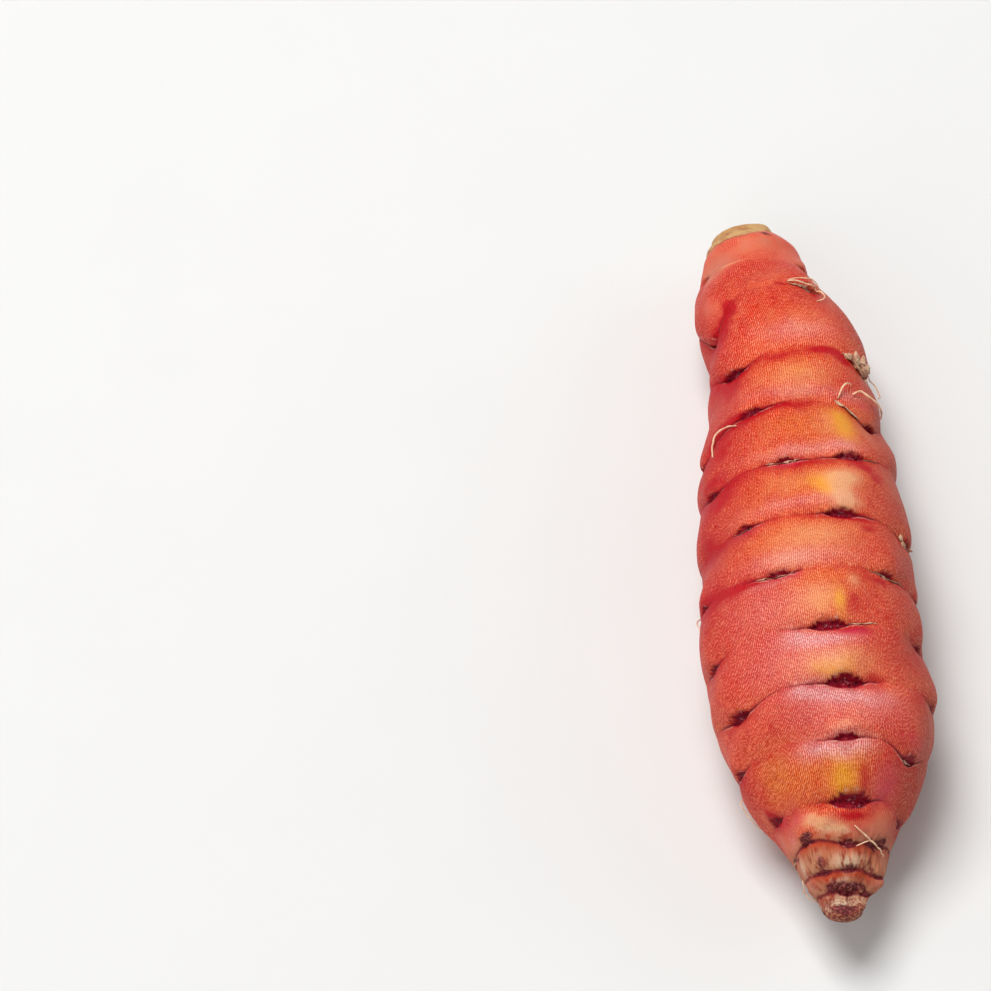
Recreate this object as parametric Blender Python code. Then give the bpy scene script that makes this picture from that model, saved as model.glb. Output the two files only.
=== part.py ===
"""One oca tuber, lying on its side: a single grown body, modelled in millimetres and built in metres.

The long axis runs along Y, with the growing tip towards -Y and the stolon scar towards +Y. A station is the
distance from the scar end in millimetres. An angle is measured round the tuber in degrees: 0 is on top, 90 is
towards +X and 180 is underneath. Rings of shallow creases divide the skin into swollen bands. In each ring sit
the eyes, and the skin above each eye swells into the cushion of a scale leaf.
"""

import math
import random

import bmesh
import bpy
import numpy as np

MM = 0.001
SEED = 11

LENGTH = 103.6
SCAR_STATION = 1.3
SCAR_RADIUS = 4.6
TIP_STATION = 101.0
TIP_RADIUS = 2.8

COLUMNS = 66
TIP_ROWS = 4
# Shares of the way across a band at which its rows lie, for bands at least as long as the first number.
BAND_ROWS = (
    (5.0, (0.0, 0.07, 0.19, 0.42, 0.68, 0.90)),
    (2.0, (0.0, 0.14, 0.45, 0.82)),
    (0.0, (0.0, 0.4)),
)

# The scar is a shallow dish with a raised corky rim: share of its radius, and station.
SCAR_ROWS = ((0.0, 1.8), (0.42, 1.7), (0.72, 1.3), (0.88, 0.6), (0.97, 0.8))
# The scar sits off the middle of the end, turned a little aside.
SCAR_SHIFT = -1.1
SCAR_SLANT = 0.22
SCAR_FADE = 3.6

# Station and radius of the smooth body under the creases.
RADIUS = (
    (SCAR_STATION, SCAR_RADIUS), (2.1, 5.1), (3.8, 6.1), (6.4, 6.7), (9.2, 7.8), (15.2, 9.9), (21.7, 10.8),
    (29.7, 11.7), (37.7, 12.7), (46.2, 13.7), (54.7, 14.4), (62.7, 14.7), (70.7, 14.5), (77.2, 14.1),
    (83.7, 12.8), (89.2, 9.9), (94.0, 6.8), (98.2, 4.8), (TIP_STATION, TIP_RADIUS),
)
# Station and sideways shift of the centreline.
SIDE = (
    (0.0, 0.2), (9.7, 0.2), (15.7, 1.2), (22.7, 2.6), (29.7, 2.6), (37.7, 1.6), (48.0, 1.2), (54.7, 0.8),
    (62.7, 0.1), (73.7, 0.2), (83.7, 0.7), (90.0, 0.6), (94.7, 0.2), (LENGTH, -0.4),
)

# The underside lies on the surface between these stations and rises towards both ends.
REST_FROM = 30.0
REST_TO = 78.0
SCAR_END_RISE = 5.0
TIP_RISE = 9.6
SINK = 0.40

CREASE_DEPTH = 0.64
CREASE_BEFORE = 0.85
CREASE_AFTER = 2.3
# Creases get finer over the last stretch before the tip, down to these shares of their reach and depth.
TIP_STRETCH = 16.0
TIP_CREASE_REACH = 0.35
TIP_CREASE_DEPTH = 0.55
EYE_REACH_DEG = 24.0
CUSHION_HEIGHT = 0.60
CUSHION_BACK = 2.7
PIT_DEPTH = 1.5
PIT_LENGTH = 1.8
BUD_HEIGHT = 0.30

# Each ring of creases: its station on top, how deep it stays between its eyes, and its eyes on the upper
# side. An eye is its angle, its width in millimetres and how far it pulls the crease towards the tip.
RINGS = (
    (8.4, 0.25, ((54, 2.4, 1.0), (-74, 2.2, 0.0))),
    (14.7, 0.35, ((38, 3.0, 0.2), (-70, 4.2, 5.4))),
    (25.3, 0.60, ((-50, 5.0, 2.0), (62, 3.4, 2.8))),
    (34.4, 0.55, ((-33, 4.2, 0.8), (-78, 2.6, 5.0), (54, 4.0, 3.4))),
    (44.1, 0.85, ((27, 5.4, 0.3), (-13, 3.2, 0.2), (-66, 3.4, 1.4))),
    (53.1, 0.85, ((16, 5.2, 0.6), (-40, 3.6, 0.3), (68, 3.4, 2.2))),
    (61.3, 0.65, ((-20, 3.6, 0.6), (42, 3.4, 0.6), (-76, 2.6, 0.0), (80, 2.4, 1.2))),
    (69.1, 0.25, ((2, 5.6, 0.8), (-74, 3.6, 1.1), (70, 2.8, 1.0))),
    (76.7, 0.25, ((7, 6.2, 0.6), (-62, 5.2, 1.4), (72, 2.8, 1.5))),
    (83.3, 0.60, ((2, 3.6, 0.9), (50, 3.8, 2.7), (-81, 3.0, 0.6))),
    (90.1, 0.75, ((5, 6.2, 0.7), (-75, 3.4, 0.0), (76, 3.0, 1.6))),
    (94.0, 0.80, ((-42, 2.4, 0.0), (4, 2.6, 1.0), (47, 3.2, 0.8), (-88, 2.2, 0.6))),
    (97.7, 0.95, ((-34, 2.4, 0.2), (6, 2.4, 0.3), (66, 2.2, 0.6))),
    (100.0, 1.00, ((4, 3.0, 0.3), (60, 2.0, 0.3))),
)
# Every ring goes on round the underside with two more eyes, near these angles.
UNDER_EYES = (138.0, -142.0)
UNDER_JITTER_DEG = 11.0
UNDER_DIP = 0.9

# Single bumps: station, angle, reach along and across in millimetres, and height.
BUMPS = (
    (92.4, -20, 1.1, 2.6, 0.55),
    (98.8, 80, 0.9, 1.1, 0.75),
)

# Broad swells of the body: waves round it, waves along it in each millimetre, and height.
SWELLS = ((2, 0.031, 0.26), (3, 0.052, 0.20), (4, 0.085, 0.14), (5, 0.118, 0.10))

SKIN_COLOUR = (0.72, 0.13, 0.07, 1.0)
SKIN_ROUGHNESS = 0.42


def through(points, at):
    """A smooth curve through the given points that doesn't overshoot between them."""
    x, y = np.array(points, float).T
    step = np.diff(x)
    rise = np.diff(y) / step
    same_way = rise[:-1] * rise[1:] > 0
    mean = 2 * rise[:-1] * rise[1:] / np.where(same_way, rise[:-1] + rise[1:], 1.0)
    slope = np.concatenate([rise[:1], np.where(same_way, mean, 0.0), rise[-1:]])
    at = np.clip(at, x[0], x[-1])
    i = np.clip(np.searchsorted(x, at) - 1, 0, len(x) - 2)
    u = (at - x[i]) / step[i]
    value = y[i] * (1 + 2 * u) * (1 - u) ** 2 + y[i + 1] * u * u * (3 - 2 * u)
    return value + step[i] * u * (1 - u) * (slope[i] * (1 - u) - slope[i + 1] * u)


def turned(angle, eye_angle):
    """Degrees round the tuber from an eye to each angle, between -180 and 180."""
    return (angle - eye_angle + 180.0) % 360.0 - 180.0


def all_rings():
    """The rings with their hidden eyes added under the tuber."""
    draw = random.Random(SEED)
    rings = []
    for station, depth, eyes in RINGS:
        width = 0.85 * sum(eye[1] for eye in eyes) / len(eyes)
        hidden = tuple(
            (angle + draw.uniform(-UNDER_JITTER_DEG, UNDER_JITTER_DEG), width * draw.uniform(0.8, 1.1), UNDER_DIP)
            for angle in UNDER_EYES
        )
        rings.append((station, depth, eyes + hidden))
    return rings


def crease_station(ring, angle):
    """Where the ring's crease lies at each angle: it dips towards the tip at every eye."""
    station, _, eyes = ring
    dips = sum(dip * np.exp(-((turned(angle, eye) / EYE_REACH_DEG) ** 2)) for eye, _, dip in eyes)
    return station + dips


def crease_strength(ring, angle):
    """How deep the crease is at each angle, from its own depth between eyes up to 1 at an eye."""
    _, between, eyes = ring
    near = sum(np.exp(-((turned(angle, eye) / (5.5 * width)) ** 2)) for eye, width, _ in eyes)
    return between + (1 - between) * np.clip(near, 0, 1)


def creases(station, angle, rings):
    """Skin height in millimetres from all the creases: a steep lip before each one and a soft slope after it."""
    to_tip = np.clip((LENGTH - station) / TIP_STRETCH, 0, 1)
    height = np.zeros_like(station)
    for ring in rings:
        past = station - crease_station(ring, angle)
        room = np.where(past < 0, CREASE_BEFORE, CREASE_AFTER) * np.maximum(to_tip, TIP_CREASE_REACH)
        depth = CREASE_DEPTH * np.maximum(to_tip, TIP_CREASE_DEPTH) * crease_strength(ring, angle)
        height -= depth * np.exp(-np.abs(past) / room)
    return height


def eye_relief(station, angle, girth_radius, rings):
    """Skin height from the eyes: the cushion above each, the pit that it hangs over, and the bud in the pit."""
    height = np.zeros_like(station)
    for ring in rings:
        past = station - crease_station(ring, angle)
        for eye, width, _ in ring[2]:
            across = np.radians(turned(angle, eye)) * girth_radius
            size = width / 5.0
            back = np.clip(-past / (CUSHION_BACK * size), 0, None)
            cushion = CUSHION_HEIGHT * size * back * np.exp(1 - back) * np.exp(-((across / (0.75 * width)) ** 2))
            lens = np.clip(1 - (2 * across / width) ** 2, 0, 1)
            along = np.clip(past / (PIT_LENGTH * size * np.maximum(lens, 1e-6)), 0, 1)
            pit = PIT_DEPTH * size * np.sqrt(lens) * np.where(past > -0.05, (1 - along) ** 1.2, 0)
            bud_away = (across / (0.9 * size)) ** 2 + ((past - 0.55 * size) / (0.5 * size)) ** 2
            height += cushion - pit + BUD_HEIGHT * size * np.exp(-bud_away)
    return height


def bumps(station, angle, girth_radius):
    """Skin height from the single bumps near the tip."""
    height = np.zeros_like(station)
    for middle, at_angle, along, across, rise in BUMPS:
        aside = np.radians(turned(angle, at_angle)) * girth_radius
        height += rise * np.exp(-(((station - middle) / along) ** 2) - (aside / across) ** 2)
    return height


def swells(station, angle):
    """Skin height from the broad uneven swells of the body."""
    draw = random.Random(SEED)
    turn = np.radians(angle)
    return sum(
        height * np.sin(waves * turn + 2 * math.pi * per_mm * station + draw.uniform(0, 2 * math.pi))
        for waves, per_mm, height in SWELLS
    )


def row_stations(angle, rings):
    """Stations of the rows between the two ends, one array each. The rows follow the creases."""
    lines = [np.full_like(angle, SCAR_STATION)]
    lines += [crease_station(ring, angle) for ring in rings]
    lines.append(np.full_like(angle, TIP_STATION))
    rows = []
    for line, following in zip(lines, lines[1:]):
        gap = float(np.mean(following - line))
        shares = next(shares for least, shares in BAND_ROWS if gap >= least)
        rows += [line + share * (following - line) for share in shares]
    return rows + [lines[-1]]


def all_rows(angle, rings):
    """Station and base radius of every row, from the middle of the scar to the very tip."""
    rows = [
        (np.full_like(angle, station), np.full_like(angle, SCAR_RADIUS * share)) for share, station in SCAR_ROWS
    ]
    rows += [(stations, through(RADIUS, stations)) for stations in row_stations(angle, rings)]
    for i in range(1, TIP_ROWS + 1):
        turn = 0.5 * math.pi * i / TIP_ROWS
        station = TIP_STATION + (LENGTH - TIP_STATION) * math.sin(turn)
        rows.append((np.full_like(angle, station), np.full_like(angle, TIP_RADIUS * math.cos(turn))))
    return rows


def underside(station):
    """Height of the body's lowest line above the surface it lies on."""
    scar_end = np.clip((REST_FROM - station) / REST_FROM, 0, 1)
    tip_end = np.clip((station - REST_TO) / (LENGTH - REST_TO), 0, 1)
    return SCAR_END_RISE * scar_end**2 + TIP_RISE * tip_end**1.9


def skin_points(station, angle, radius, rings):
    """Points of the skin in millimetres, one row of them for each row of stations."""
    full = through(RADIUS, station)
    fade = np.clip(radius / full, 0, 1) ** 2
    relief = creases(station, angle, rings) + eye_relief(station, angle, full, rings)
    relief += bumps(station, angle, full) + swells(station, angle)
    out = np.maximum(radius + relief * fade, 0)
    turn = np.radians(angle)
    scar_end = np.clip(1 - station / SCAR_FADE, 0, 1)
    x = out * np.sin(turn) + through(SIDE, station) + SCAR_SHIFT * scar_end
    y = 0.5 * LENGTH - station + SCAR_SLANT * scar_end * out * np.sin(turn)
    z = out * np.cos(turn) + full + underside(station) - SINK
    return np.stack([x, y, np.maximum(z, 0)], axis=-1)


def tuber_mesh():
    """A closed sphere of rows and columns, with each vertex moved to its place on the skin."""
    rings = all_rings()
    column_angles = np.arange(COLUMNS) * 360.0 / COLUMNS
    rows = all_rows(column_angles, rings)
    points = skin_points(
        np.array([row[0] for row in rows]), column_angles[None, :], np.array([row[1] for row in rows]), rings
    )
    middle = 0.5 * (points.min(axis=(0, 1)) + points.max(axis=(0, 1)))
    points[..., :2] -= middle[:2]

    shape = bmesh.new()
    last = len(rows) - 1
    bmesh.ops.create_uvsphere(shape, u_segments=COLUMNS, v_segments=last, radius=1.0)
    for vertex in shape.verts:
        row = round(math.acos(max(-1.0, min(1.0, vertex.co.z))) / math.pi * last)
        column = round(math.atan2(vertex.co.y, vertex.co.x) / (2 * math.pi) * COLUMNS) % COLUMNS
        vertex.co = points[row, column] * MM
    bmesh.ops.triangulate(shape, faces=shape.faces)
    bmesh.ops.recalc_face_normals(shape, faces=shape.faces)
    mesh = bpy.data.meshes.new("tuber")
    shape.to_mesh(mesh)
    shape.free()
    mesh.shade_smooth()
    return mesh


def skin_material():
    """The red skin, faintly glossy."""
    material = bpy.data.materials.new("red_skin")
    material.use_nodes = True
    surface = material.node_tree.nodes["Principled BSDF"]
    surface.inputs["Base Color"].default_value = SKIN_COLOUR
    surface.inputs["Roughness"].default_value = SKIN_ROUGHNESS
    surface.inputs["Metallic"].default_value = 0.0
    return material


def main():
    for old in list(bpy.data.objects):
        bpy.data.objects.remove(old)
    oca = bpy.data.collections.new("oca")
    bpy.context.scene.collection.children.link(oca)
    tuber = bpy.data.objects.new("tuber", tuber_mesh())
    tuber.data.materials.append(skin_material())
    oca.objects.link(tuber)


main()
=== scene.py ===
"""An oca tuber on a plain pale floor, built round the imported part.

The formulas work in millimetres and the finished meshes are in metres. A station is the distance from the
scar end along the tuber. An angle is measured round it in degrees: 0 is on top, 90 is towards +X and 180 is
underneath.
"""

import itertools
import math
import random

import bmesh
import bpy
import numpy as np
from bpy.props import FloatProperty, FloatVectorProperty, PointerProperty
from mathutils import Matrix, Vector


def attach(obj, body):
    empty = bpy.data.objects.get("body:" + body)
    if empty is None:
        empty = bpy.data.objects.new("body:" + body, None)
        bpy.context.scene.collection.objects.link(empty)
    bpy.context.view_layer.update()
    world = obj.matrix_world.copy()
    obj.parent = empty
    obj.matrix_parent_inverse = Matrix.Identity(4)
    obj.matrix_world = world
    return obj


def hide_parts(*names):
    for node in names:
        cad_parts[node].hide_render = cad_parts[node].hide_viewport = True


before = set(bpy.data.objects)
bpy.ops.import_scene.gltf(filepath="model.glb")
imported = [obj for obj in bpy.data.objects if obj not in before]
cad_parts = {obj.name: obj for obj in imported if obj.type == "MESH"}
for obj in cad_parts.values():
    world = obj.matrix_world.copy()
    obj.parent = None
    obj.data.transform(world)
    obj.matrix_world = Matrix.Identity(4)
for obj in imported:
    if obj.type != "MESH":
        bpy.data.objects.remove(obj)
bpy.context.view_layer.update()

bl_info = {
    "name": "Oca tuber",
    "version": (1, 0, 0),
    "blender": (4, 5, 0),
    "location": "3D View > Sidebar > Oca",
    "description": "Builds a finely finished oca tuber, its rootlets and shreds of scale, and a plain stage",
    "category": "Object",
}

MM = 0.001
SEED = 11

# The body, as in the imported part.
LENGTH = 103.6
SCAR_STATION = 1.3
SCAR_RADIUS = 4.6
TIP_STATION = 101.0
TIP_RADIUS = 2.8
SCAR_PROFILE = ((0.0, 1.8), (0.42, 1.7), (0.72, 1.3), (0.88, 0.6), (0.97, 0.8), (1.0, SCAR_STATION))
SCAR_SHIFT = -1.1
SCAR_SLANT = 0.22
SCAR_FADE = 3.6
RADIUS = (
    (SCAR_STATION, SCAR_RADIUS), (2.1, 5.1), (3.8, 6.1), (6.4, 6.7), (9.2, 7.8), (15.2, 9.9), (21.7, 10.8),
    (29.7, 11.7), (37.7, 12.7), (46.2, 13.7), (54.7, 14.4), (62.7, 14.7), (70.7, 14.5), (77.2, 14.1),
    (83.7, 12.8), (89.2, 9.9), (94.0, 6.8), (98.2, 4.8), (TIP_STATION, TIP_RADIUS),
)
SIDE = (
    (0.0, 0.2), (9.7, 0.2), (15.7, 1.2), (22.7, 2.6), (29.7, 2.6), (37.7, 1.6), (48.0, 1.2), (54.7, 0.8),
    (62.7, 0.1), (73.7, 0.2), (83.7, 0.7), (90.0, 0.6), (94.7, 0.2), (LENGTH, -0.4),
)
REST_FROM = 30.0
REST_TO = 78.0
SCAR_END_RISE = 5.0
TIP_RISE = 9.6
SINK = 0.40
CREASE_BEFORE = 0.85
CREASE_AFTER = 2.3
TIP_STRETCH = 16.0
TIP_CREASE_REACH = 0.35
TIP_CREASE_DEPTH = 0.55
EYE_REACH_DEG = 24.0
CUSHION_BACK = 2.7
SWELLS = ((2, 0.031, 0.26), (3, 0.052, 0.20), (4, 0.085, 0.14), (5, 0.118, 0.10))
# From the body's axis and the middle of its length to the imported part's middle, seen from above.
MIDDLE = (0.169, 0.077)

# Each ring of creases: station on top, depth between eyes, and its eyes (angle, width, dip towards the tip).
RINGS = (
    (8.4, 0.25, ((54, 2.4, 1.0), (-74, 2.2, 0.0))),
    (14.7, 0.35, ((38, 3.0, 0.2), (-70, 4.2, 5.4))),
    (25.3, 0.60, ((-50, 5.0, 2.0), (62, 3.4, 2.8))),
    (34.4, 0.55, ((-33, 4.2, 0.8), (-78, 2.6, 5.0), (54, 4.0, 3.4))),
    (44.1, 0.85, ((27, 5.4, 0.3), (-13, 3.2, 0.2), (-66, 3.4, 1.4))),
    (53.1, 0.85, ((16, 5.2, 0.6), (-40, 3.6, 0.3), (68, 3.4, 2.2))),
    (61.3, 0.65, ((-20, 3.6, 0.6), (42, 3.4, 0.6), (-76, 2.6, 0.0), (80, 2.4, 1.2))),
    (69.1, 0.25, ((2, 5.6, 0.8), (-74, 3.6, 1.1), (70, 2.8, 1.0))),
    (76.7, 0.25, ((7, 6.2, 0.6), (-62, 5.2, 1.4), (72, 2.8, 1.5))),
    (83.3, 0.60, ((2, 3.6, 0.9), (50, 3.8, 2.7), (-81, 3.0, 0.6))),
    (90.1, 0.75, ((5, 6.2, 0.7), (-75, 3.4, 0.0), (76, 3.0, 1.6))),
    (94.0, 0.80, ((-42, 2.4, 0.0), (4, 2.6, 1.0), (47, 3.2, 0.8), (-88, 2.2, 0.6))),
    (97.7, 0.95, ((-34, 2.4, 0.2), (6, 2.4, 0.3), (66, 2.2, 0.6))),
    (100.0, 1.00, ((4, 3.0, 0.3), (60, 2.0, 0.3))),
)
UNDER_EYES = (138.0, -142.0)
UNDER_JITTER_DEG = 11.0
UNDER_DIP = 0.9

# Single bumps: station, angle, reach along and across in millimetres, and height.
BUMPS = (
    (92.4, -20, 1.1, 2.6, 0.55),
    (98.8, 80, 0.9, 1.1, 0.75),
)
# Finer ones that only the finished skin has.
SMALL_BUMPS = (
    (8.3, -42, 0.35, 2.8, 0.25), (15.4, -57, 1.5, 1.8, 0.35), (44.9, -12, 0.35, 2.4, 0.12),
    (83.0, 3, 0.5, 1.8, 0.25), (63.7, 19, 1.0, 1.2, 0.10), (94.0, -20, 0.8, 2.2, 0.15),
)

# How fine the finished skin is. Rows crowd towards the creases, and columns towards the top.
COLUMNS = 300
TOP_CROWDING = 0.25
SCAR_ROWS = 18
TIP_ROWS = 18
ROW_GAP = 0.375
HEEL_ROW_GAP = 0.225
ROW_CROWDING = 0.72

# The finished skin's relief, in millimetres.
SOFT_CREASE = 0.45
CRISP_CREASE = 0.08
FURROW = (0.16, 0.16)
LIP = (0.15, 0.20, 0.17)
DIP_CRISPNESS = 0.5
EYES_DRIED = (92.0, 94.0)
JAG_PERIOD = 0.6
JAG = 0.17
EYE_ARCH = 0.90
EYE_DROP = 0.75
EYES_OPEN = (9.0, 24.0)
LUMPS = ((6.5, 0.10), (2.6, 0.050), (1.1, 0.024))
PUCKER = (0.9, 1.2, 0.07)
FIBRE = (0.5, 4.0, 0.17)
CRUMBS = (0.45, 0.14)
RIM_GROOVE = (0.38, 0.22)
BAND_GLOW = 2.4
BAND_BASE = 0.55
TIP_SOFTNESS = 0.3
PUCKER_PLACE = 0.3
FULL_EYE = 5.0
CUSHION_ACROSS = 0.75
PIT_LIP = (-0.04, 0.20)
PIT_SLOPE = 1.1
BUD = (0.8, 0.1, 0.4)

# How far round the tuber an eye's effect goes, in degrees for each millimetre of its width.
EYE_SPREAD = 5.5
CRISP_SPREAD = 4.2
# From this station on, the skin is dry and its eyes have dried up.
DRY_FROM = 92.0
# Marks along a crease: what the nearness of eyes adds, a base and some unevenness, then place and reach.
LINE_SHARES = (1.25, -0.10, 0.35)
LINE_REACH = 0.15
DRIED_LINE = (0.95, 0.05, 0.20)
FILM_SHARES = (1.3, -0.45, 0.3)
FILM_PLACE = 0.26
FILM_REACH = 0.13
# The red flush past a crease: a base, and what eyes, the deeper side and unevenness add.
# The deeper side is partly painted shade.
GLOW = (0.20, 0.45, 0.85, 0.40)
GLOW_REACH = (0.70, 1.7, 0.4)
GLOW_BEFORE = 0.25
GLOW_AT_TIP = 0.2
# Where an eye's dark inside begins and ends: from its corners inwards, and from its top down.
EYE_CORNERS = (0.0, 0.14)
EYE_TOP = (-0.06, 0.08)
EYE_FOOT = (0.72, 1.05)
EYE_FILM = (0.7, 0.10, 0.06)
EYE_FILM_ENDS = (0.05, 0.3)

# Marks on the skin: station, angle, reach along and across in millimetres, and strength.
YOLKS = (
    (39.6, 27, 2.4, 1.7, 1.1), (37.6, 24, 1.4, 2.0, 0.5), (49.0, 4, 1.4, 1.5, 0.8),
    (50.6, 7, 1.0, 0.9, 0.5), (66.6, 0, 1.6, 2.0, 0.30), (67.1, 9.5, 1.8, 1.0, 1.00),
    (75.4, -3, 1.0, 1.6, 0.60), (75.9, 3, 0.6, 2.4, 0.45), (74.8, 9, 1.1, 1.6, 0.40),
    (88.9, -1, 1.6, 2.0, 1.1), (87.0, -2, 1.2, 1.4, 0.60), (29.8, -1, 1.0, 1.6, 0.25),
    (36.6, 150, 2.2, 2.4, 0.7), (58.5, -150, 2.0, 2.2, 0.8), (73.5, 140, 2.0, 2.2, 0.8),
    (49.8, -126, 1.6, 1.8, 0.7), (29.8, -128, 1.6, 1.8, 0.6), (86.8, -140, 1.6, 2.0, 0.8),
    (64.9, 108, 1.6, 1.6, 0.6), (80.5, -118, 1.6, 1.8, 0.6),
)
AMBERS = (
    (63.8, 4, 3.0, 5.0, 0.75), (67.2, -6, 1.8, 4.0, 0.45), (74.6, 3, 1.8, 5.0, 0.65),
    (86.4, -50, 2.6, 2.6, 1.0), (87.2, -28, 2.0, 4.0, 0.75), (86.0, 0, 2.6, 4.5, 0.60),
    (29.6, -2, 3.4, 6.0, 0.60), (21.0, 8, 3.4, 5.0, 0.25), (39.4, 18, 3.0, 7.0, 0.75),
    (48.6, 0, 2.6, 8.0, 0.85), (56.6, -6, 2.6, 8.0, 0.80), (38.6, -8, 1.6, 4.0, 0.35),
    (86.5, 132, 3.0, 7.0, 0.6), (57.0, 150, 3.0, 7.0, 0.5), (41.0, -150, 3.0, 7.0, 0.5),
    (72.0, -150, 3.0, 7.0, 0.5), (97.4, -58, 0.8, 1.2, 0.6), (68.6, 118, 2.6, 5.0, 0.4),
    (30.5, 140, 3.0, 6.0, 0.5),
)
PALES = (
    (50.5, 14, 2.3, 2.2, 1.0), (48.3, 18, 1.5, 2.4, 0.85), (52.2, 19, 1.0, 1.7, 0.8),
    (63.6, 19, 0.9, 1.0, 0.7), (39.2, 17, 2.2, 2.4, 0.40), (75.0, 3, 1.5, 4.5, 0.45),
    (86.0, 2, 1.2, 3.5, 0.30), (57.0, 0, 2.4, 6.0, 0.60), (48.0, -12, 2.0, 4.0, 0.30),
    (31.0, -8, 2.4, 5.0, 0.25), (66.2, -2, 2.0, 3.0, 0.55), (21.5, 6, 2.6, 4.0, 0.15),
    (73.8, 4, 1.2, 3.0, 0.35), (60.4, -13, 1.4, 3.2, 0.45), (91.8, -32, 0.70, 1.3, 1.2),
    (92.4, -18, 0.80, 1.6, 1.3), (93.0, -4, 0.60, 1.1, 1.1), (8.3, -42, 0.22, 2.6, 1.0),
    (30.4, 3, 2.0, 4.0, 0.30), (83.0, 2, 0.5, 1.4, 0.6), (47.8, 148, 2.0, 2.4, 0.8),
    (66.8, -138, 2.0, 2.4, 0.8), (97.0, 4, 0.8, 2.0, 0.8), (101.2, -10, 1.0, 3.2, 0.9),
    (99.0, -8, 0.4, 1.0, 0.6), (96.8, -62, 1.6, 0.6, 0.6),
)
# Sheens, pinkish white under the eyes and over the middle of the top, are partly the skin's bloom and partly
# painted highlight.
SHEENS = (
    (70.7, -13, 0.8, 2.2, 0.85), (71.8, -3, 0.9, 3.2, 1.00), (72.0, 9, 0.6, 2.0, 0.55),
    (77.7, -18, 1.0, 2.2, 0.70), (78.0, -8, 0.9, 2.4, 0.95), (79.0, 6, 0.8, 3.2, 0.95),
    (84.9, -8, 1.2, 4.2, 1.20), (85.2, 8, 0.8, 2.4, 0.5), (22.6, 4, 1.6, 4.6, 0.50),
    (33.0, 0, 0.9, 6.0, 0.40), (43.2, -4, 0.8, 5.5, 0.60), (51.6, -8, 1.0, 6.0, 0.45),
    (62.7, -26, 0.7, 3.4, 0.65), (79.6, 22, 1.1, 3.0, 0.45), (42.6, 22, 1.0, 2.4, 0.6),
    (33.6, 34, 0.8, 2.2, 0.5), (60.0, -8, 1.2, 6.0, 0.55), (93.2, -62, 1.0, 1.0, 0.5),
    (73.5, -16, 4.5, 7.0, 0.40), (80.6, 2, 2.8, 8.0, 0.40), (66.0, -24, 3.5, 6.0, 0.30),
)
# The crimson at station 20.9 and angle -63 is partly painted shade in a groove.
CRIMSONS = (
    (19.0, -49, 1.5, 1.3, 1.4), (20.9, -63, 1.8, 1.8, 1.4), (17.2, -38, 1.1, 0.9, 1.3),
    (15.9, -41, 0.7, 0.8, 1.2), (26.5, 29, 0.8, 1.7, 1.1), (26.1, 17, 0.55, 1.6, 0.9),
    (27.6, 36, 0.7, 1.4, 0.9), (44.9, 26, 0.45, 1.5, 0.9), (46.1, 32, 0.65, 1.5, 1.1),
    (47.5, 40, 0.6, 1.4, 1.0), (54.1, 23, 0.45, 1.5, 0.8), (55.4, 31, 0.55, 1.6, 0.8),
    (53.8, 17, 0.35, 1.6, 0.7), (37.0, -60, 1.1, 2.0, 0.9), (35.9, -48, 0.9, 2.4, 1.0),
    (35.4, -36, 0.6, 2.0, 0.9), (43.9, -61, 0.9, 2.4, 0.8), (46.9, -57, 1.4, 2.2, 0.8),
    (52.2, -74, 1.3, 2.0, 0.8), (54.2, -66, 1.1, 2.4, 0.8), (61.2, -67, 1.3, 3.0, 0.8),
    (61.9, -43, 0.7, 3.0, 0.8), (63.0, 34, 0.5, 1.6, 0.8), (92.0, 8, 0.5, 2.6, 0.9),
    (89.8, -72, 1.0, 1.4, 1.0), (27.4, -58, 1.2, 2.4, 0.9), (70.7, 16, 0.5, 2.2, 0.7),
    (72.6, 60, 1.6, 2.0, 0.5), (14.7, 9, 0.30, 0.7, 0.8), (15.6, 39, 0.7, 0.7, 1.0),
    (78.6, 52, 1.4, 1.6, 0.5), (88.6, 12, 1.4, 0.8, 0.5), (26.7, -8, 0.8, 5.0, 0.6),
    (35.3, -12, 0.6, 5.0, 0.5), (45.2, -2, 0.5, 5.0, 0.5), (54.0, 4, 0.4, 4.0, 0.4),
    (66.9, 18, 1.6, 1.3, 0.5), (30.0, -50, 1.6, 2.0, 0.5), (40.0, -52, 1.6, 2.2, 0.5),
    (76.6, 24, 0.5, 1.6, 0.5),
)
MAGENTAS = (
    (71.0, 15, 0.55, 1.9, 1.0), (88.4, 31, 1.8, 2.6, 0.75), (90.0, 33, 1.0, 2.2, 0.6),
    (84.2, 44, 1.0, 2.6, 0.5), (44.6, -12, 0.5, 2.4, 0.8), (54.2, -38, 0.6, 2.2, 0.6),
    (62.3, -14, 0.4, 1.8, 0.9), (77.6, 14, 0.4, 2.0, 0.6), (93.4, 12, 0.6, 1.6, 0.6),
    (91.2, -44, 0.8, 1.4, 0.6), (90.9, -60, 1.2, 1.2, 0.5), (34.9, 44, 0.5, 1.6, 0.6),
)
DUSTIES = (
    (8.5, 42, 1.5, 2.6, 0.6), (7.6, -48, 1.9, 2.6, 0.85), (8.6, -62, 1.8, 2.2, 0.8),
    (15.4, -58, 1.8, 1.8, 0.8), (92.6, -80, 2.5, 2.0, 0.9), (92.9, 36, 1.7, 2.8, 1.00),
    (91.8, -50, 1.0, 1.8, 0.7), (96.4, -66, 2.0, 1.2, 0.8), (95.4, 78, 2.4, 2.0, 0.8),
    (38.6, 46, 1.6, 2.2, 0.6), (47.0, 60, 2.0, 2.4, 0.45), (28.6, 60, 1.6, 2.0, 0.5),
    (14.2, 52, 1.4, 2.2, 0.7), (81.0, 70, 2.5, 2.0, 0.5), (98.8, -70, 1.6, 1.2, 0.7),
    (99.0, 70, 1.2, 1.2, 0.7),
)
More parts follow.
